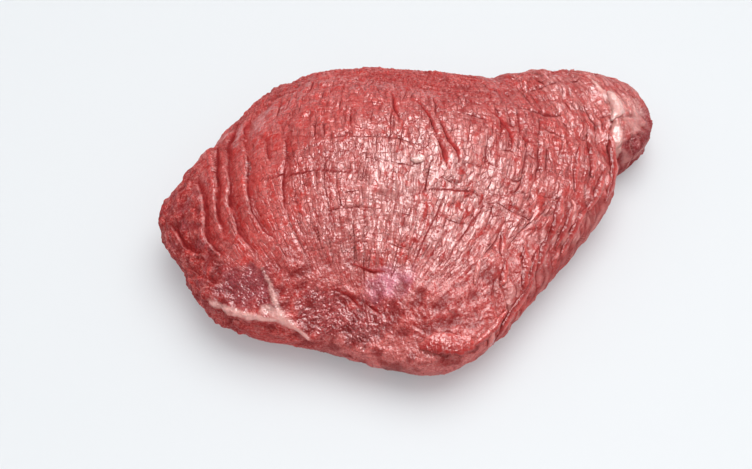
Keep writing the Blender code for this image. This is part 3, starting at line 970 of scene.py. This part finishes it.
    # Painted light among the layers: deep lean in lines, grooves, creases, cracks and hollows is
    # shade. The pale skin colour in spots, cushions, flecks, the pale share and lips is partly sheen
    # and highlight, and the rim is partly a highlight
    layers = (
        (ramp["clouds"], 1.0, colours.bright),
        (share["spots"], 1.0, film),
        (share["cushions"], 0.75, film),
        (ramp["threads"], 1.0, film),
        (share["flecks"], 1.0, film),
        (field["pale"], 0.8, film),
        (field["silver"], 0.8, colours.silver),
        (field["cut"], 0.7, colours.cut),
        (field["open"], 0.85, colours.lean),
        (share["line"], 0.66, deep),
        (share["groove"], 0.35, deep),
        (share["specks"], 1.0, deep),
        (field["crease"], 0.82, deep),
        (share["lip"], 0.55, film),
        (share["crack"], 0.88, deep),
        (field["hollow"], 0.6, deep),
        (field["rim"], 0.6, film),
        (field["fat"], 1.0, colours.fat),
    )
    skin = (*colours.lean, 1.0)
    for part, most, over in layers:
        part = add(tree, "Math", {0: part, 1: most}, operation="MULTIPLY")
        skin = add(tree, "Mix", {0: part, 6: skin, 7: (*over, 1.0)}, 2, data_type="RGBA")

    # Heights in millimetres; those that follow the creases stop where the meat is torn
    line, groove = share["line"], share["groove"]
    height = 0.0
    for value, tall in ((line, -0.20), (tilt, 0.9), (streak, 0.4), (groove, -0.25), (fibre, 0.5)):
        inputs = {0: value, 1: tall, 2: height}
        height = add(tree, "Math", inputs, operation="MULTIPLY_ADD")
    height = add(tree, "Math", {0: height, 1: field["order"]}, operation="MULTIPLY")
    for name, tall in (("torn", 1.3), ("beads", -0.5), ("knobs", 1.0), ("crack", -0.2)):
        inputs = {0: share[name], 1: tall, 2: height}
        height = add(tree, "Math", inputs, operation="MULTIPLY_ADD")
    bump = add(tree, "Bump", {"Height": height, "Strength": 1.0, "Distance": MM})

    # Juice lies on the skin, less in its lines and hardly in its cracks
    lines = add(tree, "Math", {0: groove, 1: line}, operation="MAXIMUM")
    wet = field["gloss"]
    for value, left in ((lines, 0.35), (share["crack"], 0.15)):
        dry = add(tree, "MapRange", {"Value": value, 3: 1.0, 4: left})
        wet = add(tree, "Math", {0: dry, 1: wet}, operation="MULTIPLY")
    matt = {0: field["open"], 1: 0.35, 2: ramp["rough"]}
    finish = {
        "Base Color": skin,
        "Roughness": add(tree, "Math", matt, operation="MULTIPLY_ADD"),
        "IOR": 1.45,
        "Specular IOR Level": 0.15,
        "Subsurface Weight": 0.15,
        "Subsurface Radius": (1.0, 0.28, 0.18),
        "Subsurface Scale": 0.003,
        "Coat Weight": wet,
        "Coat Roughness": 0.18,
        "Coat IOR": 1.6,
        "Normal": bump,
        "Coat Normal": bump,
    }
    add(tree, "OutputMaterial", {"Surface": add(tree, "BsdfPrincipled", finish)})
    return material


def make_muscle(name, form, lumps, lift):
    """One closed muscle: its plain form, then the large relief, then the fine relief on that.

    The form is its number of rings, middle, corners, edge height and height of its top.
    """
    sizes = bpy.context.scene.roast_sizes
    share, angle, quads, triangles = disc_grid(form[0])
    plain = press(share, angle, *form)
    normals = face_normals(plain, quads, triangles)
    height = large_relief(plain, lumps, sizes)
    raised = plain + normals * height[:, None]
    normals = face_normals(raised, quads, triangles)
    grain = grain_of(raised)
    zones = zones_of(raised, normals)
    height, fields = fine_relief(raised, grain, zones, sizes)
    done = raised + normals * height[:, None]
    done[:, 2] = np.maximum(done[:, 2], 0) + lift
    fields["grain"] = np.column_stack([grain * MM, np.zeros(len(grain))])
    fields["pale"] = np.maximum(fields["pale"], 0.3 * zones["lip"])
    mottled = 0.8 + 0.5 * lattice_noise(done / 4.0, 92)
    fields["fat"] = np.maximum(mottled * zones["fat"], 0.5 * zones["tail_skin"])
    shut = np.clip(1.5 * fields["open"], 0, 1)
    torn = (1 - zones["order"]) * (1 - zones["cut"])
    dull = [0.15 * zones["folds"], 0.7 * zones["back"], 0.4 * zones["wall"], 0.35 * torn, shut]
    upward = 0.25 + 0.75 * smooth_step(normals[:, 2], 0.35, 0.8)
    fields["gloss"] = (1 - np.maximum.reduce(dull)) * upward * (1 - 0.6 * fields["crease"])
    dark = zones["end"] * smooth_step(lattice_noise(done / 6.0, 91), 0.0, 0.3)
    cuts = [zones["purple"], 0.6 * zones["rough"], 0.8 * zones["tail_cut"], 0.75 * dark]
    fields["cut"] = np.maximum.reduce(cuts)
    fields["silver"] = zones["silver"]
    fields["smooth"] = np.maximum.reduce([most * zones[name] for name, most in CALM.items()])
    fields["order"] = zones["order"] * (1 - np.maximum(0.8 * zones["cut"], shut))
    piece = make_object(name, done, quads, triangles, fields, raw_beef())
    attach(piece, BODY)
    return piece


def skin_of(names):
    """Places in drawing millimetres and normals of all vertices of the named objects."""
    places, normals = [], []
    for name in names:
        mesh = bpy.data.objects[name].data
        kinds = ((mesh.vertices, "co", places), (mesh.vertex_normals, "vector", normals))
        for source, key, found in kinds:
            flat = np.zeros(len(mesh.vertices) * 3, np.float32)
            source.foreach_get(key, flat)
            found.append(flat.reshape(-1, 3))
    return np.concatenate(places) / MM - ZERO, np.concatenate(normals)


def strip(host, route, half_width, half_thickness, lift, seed):
    """A tapered strip laid on the skin of its host: rings of a flat oval along a smooth route.

    The route is dropped on to the nearest places of the skin and smoothed by an even average of
    neighbours. Width and thickness fall off as the square root of a sine, and a noise frays
    them.
    """
    t = np.linspace(0, 1, STRIP_STEPS)
    route = np.array(route, float)
    knots = np.linspace(0, 1, len(route))
    middle = np.stack([np.interp(t, knots, route[:, k]) for k in range(3)], 1)
    nearest = [np.argmin(((host[0] - spot) ** 2).sum(1)) for spot in middle]
    middle, up = host[0][nearest], host[1][nearest]
    for _ in range(STRIP_PASSES):
        middle[1:-1] = (middle[:-2] + 2 * middle[1:-1] + middle[2:]) / 4
        up[1:-1] = (up[:-2] + 2 * up[1:-1] + up[2:]) / 4
    tangent = np.gradient(middle, axis=0)
    side = np.cross(up, tangent)
    side /= np.linalg.norm(side, axis=1)[:, None]
    taper = np.sin(math.pi * np.clip(t, 0.02, 0.98)) ** 0.5
    turn = np.linspace(0, 2 * math.pi, STRIP_TURNS, endpoint=False)
    along, round_it = (a.ravel() for a in np.meshgrid(t, turn, indexing="ij"))
    ring = np.repeat(np.arange(STRIP_STEPS), STRIP_TURNS)
    place = np.stack([along * FRAYS, np.cos(round_it), np.sin(round_it)], 1)
    wide = half_width * taper[ring] * (1 + WIDTH_FRAY * lattice_noise(place, seed))
    tall = half_thickness * taper[ring] * (1 + THICKNESS_FRAY * lattice_noise(place + 7, seed))
    points = middle[ring] + up[ring] * (lift + tall * np.sin(round_it))[:, None]
    points += side[ring] * (wide * np.cos(round_it))[:, None]
    points = np.concatenate([points, middle[:1], middle[-1:]])
    number = np.arange(STRIP_STEPS * STRIP_TURNS).reshape(STRIP_STEPS, STRIP_TURNS)
    after = np.roll(number, -1, axis=1)
    quads = np.stack([number[:-1], after[:-1], after[1:], number[1:]], -1).reshape(-1, 4)
    start, end = number.size, number.size + 1
    first = np.stack([np.full(STRIP_TURNS, start), after[0], number[0]], 1)
    last = np.stack([np.full(STRIP_TURNS, end), number[-1], after[-1]], 1)
    length_along = np.linalg.norm(np.diff(middle, axis=0), axis=1).sum()
    grain = np.stack([wide * np.cos(round_it), along * length_along, 0 * along], 1)
    grain = np.concatenate([grain, grain[:1], grain[-1:]])
    edge = np.append(np.cos(round_it), (1.0, 1.0))
    return points, quads, np.concatenate([first, last]), grain, edge


def make_strips(name, layout, shares):
    """All strips of a layout as one mesh, each closed; shares are fixed values of its fields."""
    host = skin_of(("thick_muscle", "tail_muscle"))
    parts = [strip(host, *one, FRAY_SEED + number) for number, one in enumerate(layout)]
    points, quads, triangles, grain, edge = zip(*parts)
    shift = np.cumsum([0] + [len(part) for part in points])
    quads = np.concatenate([part + k for part, k in zip(quads, shift)])
    triangles = np.concatenate([part + k for part, k in zip(triangles, shift)])
    points, grain, edge = (np.concatenate(kind) for kind in (points, grain, edge))
    points[:, 2] = np.maximum(points[:, 2], 0.0)
    fields = {key: np.full(len(points), value) for key, value in shares.items()}
    fields["grain"] = grain * MM
    # Painted light: one edge of each strip is paler, a painted highlight, and the other edge is
    # darker, painted shade
    fields["rim"] = np.clip(edge, 0, 1) ** 3 * shares.get("rim", 0.0)
    fields["crease"] = np.clip(0.3 - edge, 0, 1) * shares.get("crease", 0.0)
    piece = make_object(name, points, quads, triangles, fields, raw_beef())
    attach(piece, BODY)


class ROAST_OT_thick_muscle(bpy.types.Operator):
    """Thick muscle with its folds, creases, cuts and fat seam"""

    bl_idname = "roast.thick_muscle"
    bl_label = "Thick Muscle"

    def execute(self, context):
        form = (MUSCLE_RINGS, MUSCLE_MIDDLE, MUSCLE_CORNERS, MUSCLE_EDGE_HEIGHT, muscle_top)
        piece = make_muscle("thick_muscle", form, MUSCLE_LUMPS, 0.0)
        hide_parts(NODE)
        return {"FINISHED"}


class ROAST_OT_tail_muscle(bpy.types.Operator):
    """Tail muscle that comes out from under the back of the thick one"""

    bl_idname = "roast.tail_muscle"
    bl_label = "Tail Muscle"

    def execute(self, context):
        form = (TAIL_RINGS, TAIL_MIDDLE, TAIL_CORNERS, TAIL_EDGE_HEIGHT, tail_top)
        make_muscle("tail_muscle", form, TAIL_LUMPS, TAIL_LIFT)
        return {"FINISHED"}


class ROAST_OT_strips(bpy.types.Operator):
    """Loose flap at the front, ribbons down the right wall, shreds and pieces of fat"""

    bl_idname = "roast.strips"
    bl_label = "Strips And Scraps"

    def execute(self, context):
        flap = {"gloss": 0.8, "order": 0.7, "rim": 0.3, "crease": 0.6, "smooth": 0.5}
        make_strips("front_flap", FLAP, flap)
        ribbons = {"gloss": 0.6, "order": 0.6, "rim": 0.8, "crease": 1.0, "smooth": 0.8}
        make_strips("wall_ribbons", RIBBONS, ribbons)
        make_strips("shreds", SHREDS, {"gloss": 1.0, "order": 0.3, "pale": 0.5, "smooth": 1.0})
        make_strips("fat_pieces", FAT_PIECES, {"gloss": 1.0, "fat": 1.0, "smooth": 1.0})
        return {"FINISHED"}


# Studio

CAMERA_TARGET = (-0.0408, -0.0197, 0.03)
CAMERA_AZIMUTH, CAMERA_ELEVATION = math.radians(-21), math.radians(52)
CAMERA_DISTANCE = 0.70
CAMERA_LENS, CAMERA_SENSOR = 60.0, 36.0

# Key light: a sun lamp that looks very wide, so that its shadow is soft. It isn't seen in the
# gloss. Towards it (x, y, z), its strength in watts a square metre, and how wide it looks
KEY_TOWARDS, KEY_STRENGTH, KEY_ANGLE = (0.29, 0.26, 0.92), 1.92, math.radians(60)
# A long panel that only the gloss shows: place, size along x and y before it is turned to face
# the target, and watts
SHEEN_PLACE, SHEEN_SIZE, SHEEN_WATTS = (0.28, 0.12, 0.96), (0.66, 1.05), 23.0
SHEEN_TARGET = (0.0, 0.0, 0.03)
# Light of the surroundings at the horizon and overhead, and how bright they look
HORIZON_LIGHT, ZENITH_LIGHT, BACKDROP = 0.62, 0.74, 0.93
# The floor's own glow, painted light that keeps shadows on it light: strength, and a faint blue tint
FLOOR_GLOW, FLOOR_GLOW_TINT = 0.23, (0.92, 0.95, 1.0)
FLOOR_REACH = 3.0  # from the middle to each side (m)


def studio_floor():
    """White acrylic floor: matt, and it glows a little as painted light, so that shadows on it stay
    light.
    """
    material = empty_material("backlit_acrylic")
    tree = material.node_tree
    place = add(tree, "TexCoord", {}, "Object")
    speck = add(tree, "TexNoise", {"Vector": place, "Scale": 900.0})
    finish = {
        "Base Color": (*bpy.context.scene.roast_colours.floor, 1.0),
        "Roughness": 0.7,
        "Normal": add(tree, "Bump", {"Height": speck, "Strength": 0.05, "Distance": 0.0002}),
        "Emission Color": (*FLOOR_GLOW_TINT, 1.0),
        "Emission Strength": FLOOR_GLOW,
    }
    add(tree, "OutputMaterial", {"Surface": add(tree, "BsdfPrincipled", finish)})
    return material


def surroundings():
    """White surroundings that light from overhead more than from the sides."""
    world = bpy.data.worlds.new("white_surroundings")
    world.use_nodes = True
    tree = world.node_tree
    background = tree.nodes["Background"]
    ray = add(tree, "TexCoord", {}, "Generated")
    up = add(tree, "SeparateXYZ", {0: ray}, "Z")
    light = add(tree, "MapRange", {"Value": up, 3: HORIZON_LIGHT, 4: ZENITH_LIGHT})
    seen = add(tree, "LightPath", {}, "Is Camera Ray")
    strength = add(tree, "Mix", {0: seen, 2: light, 3: BACKDROP})
    tree.links.new(strength, background.inputs["Strength"])
    background.inputs["Color"].default_value = (1.0, 1.0, 1.0, 1.0)
    world.cycles_visibility.glossy = False
    return world


class ROAST_OT_studio(bpy.types.Operator):
    """Plain pale floor, a wide sun lamp, a soft panel, white surroundings and the camera"""

    bl_idname = "roast.studio"
    bl_label = "Studio"

    def execute(self, context):
        scene = context.scene
        mesh = bpy.data.meshes.new("floor")
        corners = [(x * FLOOR_REACH, y * FLOOR_REACH, 0.0) for y in (-1, 1) for x in (-1, 1)]
        mesh.from_pydata(corners, [], [(0, 1, 3, 2)])
        mesh.materials.append(studio_floor())
        floor = placed("floor", mesh)
        key = bpy.data.lights.new("key_light", "SUN")
        key.energy, key.angle = KEY_STRENGTH, KEY_ANGLE
        lamp = placed(key.name, key)
        lamp.rotation_euler = Vector(KEY_TOWARDS).to_track_quat("Z", "Y").to_euler()
        lamp.visible_glossy = False
        sheen = bpy.data.lights.new("sheen_panel", "AREA")
        sheen.shape = "RECTANGLE"
        sheen.size, sheen.size_y = SHEEN_SIZE
        sheen.energy = SHEEN_WATTS
        panel = placed(sheen.name, sheen)
        panel.location = SHEEN_PLACE
        back = (Vector(SHEEN_PLACE) - Vector(SHEEN_TARGET)).normalized()
        across = Vector((0.0, 1.0, 0.0)).cross(back).normalized()
        turned = Matrix((across, back.cross(across), back)).transposed()
        panel.rotation_euler = turned.to_euler()
        panel.visible_diffuse = False
        scene.world = surroundings()
        scene.view_settings.view_transform = "Standard"
        camera = bpy.data.cameras.new("camera")
        camera.lens, camera.sensor_width = CAMERA_LENS, CAMERA_SENSOR
        viewer = placed("camera", camera)
        level = math.cos(CAMERA_ELEVATION)
        x, y = math.sin(CAMERA_AZIMUTH) * level, -math.cos(CAMERA_AZIMUTH) * level
        back = Vector((x, y, math.sin(CAMERA_ELEVATION)))
        viewer.location = Vector(CAMERA_TARGET) + back * CAMERA_DISTANCE
        viewer.rotation_euler = (-back).to_track_quat("-Z", "Y").to_euler()
        scene.camera = viewer
        return {"FINISHED"}


class ROAST_PT_panel(bpy.types.Panel):
    """Buttons for the pieces, in the order in which they are made"""

    bl_label = "Raw Beef Roast"
    bl_idname = "ROAST_PT_panel"
    bl_space_type = "VIEW_3D"
    bl_region_type = "UI"
    bl_category = "Roast"

    def draw(self, context):
        for group in (context.scene.roast_sizes, context.scene.roast_colours):
            box = self.layout.box()
            for name in group.__annotations__:
                box.prop(group, name)
        for operator in OPERATORS:
            self.layout.operator(operator.bl_idname)


OPERATORS = (ROAST_OT_thick_muscle, ROAST_OT_tail_muscle, ROAST_OT_strips, ROAST_OT_studio)
CLASSES = (RoastSizes, RoastColours, *OPERATORS, ROAST_PT_panel)


def register():
    for cls in CLASSES:
        bpy.utils.register_class(cls)
    bpy.types.Scene.roast_sizes = PointerProperty(type=RoastSizes)
    bpy.types.Scene.roast_colours = PointerProperty(type=RoastColours)


def unregister():
    del bpy.types.Scene.roast_colours
    del bpy.types.Scene.roast_sizes
    for cls in reversed(CLASSES):
        bpy.utils.unregister_class(cls)


def main():
    register()
    bpy.ops.roast.thick_muscle()
    bpy.ops.roast.tail_muscle()
    bpy.ops.roast.strips()
    bpy.ops.roast.studio()


if __name__ == "__main__":
    main()
